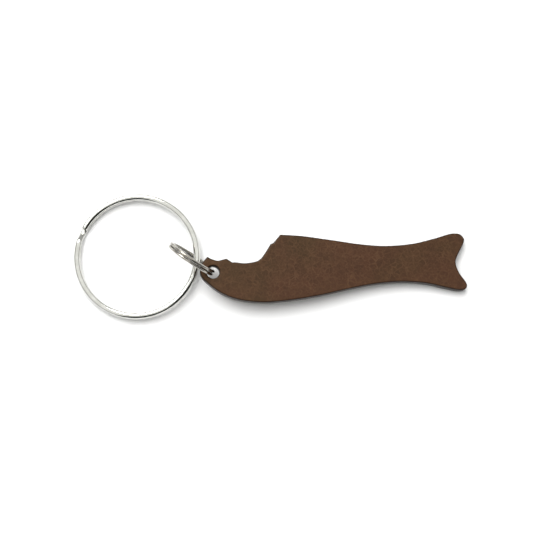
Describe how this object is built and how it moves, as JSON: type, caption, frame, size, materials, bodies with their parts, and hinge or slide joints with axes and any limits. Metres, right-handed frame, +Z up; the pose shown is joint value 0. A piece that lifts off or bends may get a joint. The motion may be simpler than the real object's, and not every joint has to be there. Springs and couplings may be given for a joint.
{
  "type": "keychain bottle opener",
  "caption": "Flat fish-shaped keychain bottle opener: a coated metal plate with a cap notch, its eye holding a small split ring that carries a large split key ring.",
  "frame": {"origin": "under the middle of the whole object's box, on the table that it lies on", "axes": "+X along the object from the key ring to the fish's tail, +Y to the fish's back where the cap notch is, +Z up from the table"},
  "size_m": [0.0932, 0.03, 0.0125],
  "materials": {
    "crackle_coating": "satin dark brown with a fine crackle",
    "nickel_wire": "bright nickel plate"
  },
  "bodies": {
    "opener": {"opener_plate": "crackle_coating"},
    "link": {"link_ring": "nickel_wire"},
    "keyring": {"key_ring": "nickel_wire"}
  },
  "joints": [
    {"name": "link_swing", "type": "hinge", "parent": "opener", "child": "link", "pos_m": [-0.01342, -0.00447, 0.00542], "axis": [0.0657, 0, 0.9978], "range_deg": [-55, 45]},
    {"name": "key_ring_flip", "type": "hinge", "parent": "link", "child": "keyring", "pos_m": [-0.01747, -0.00187, 0.00259], "axis": [0.1305, 0.9914, 0], "range_deg": [-150, 130]}
  ]
}
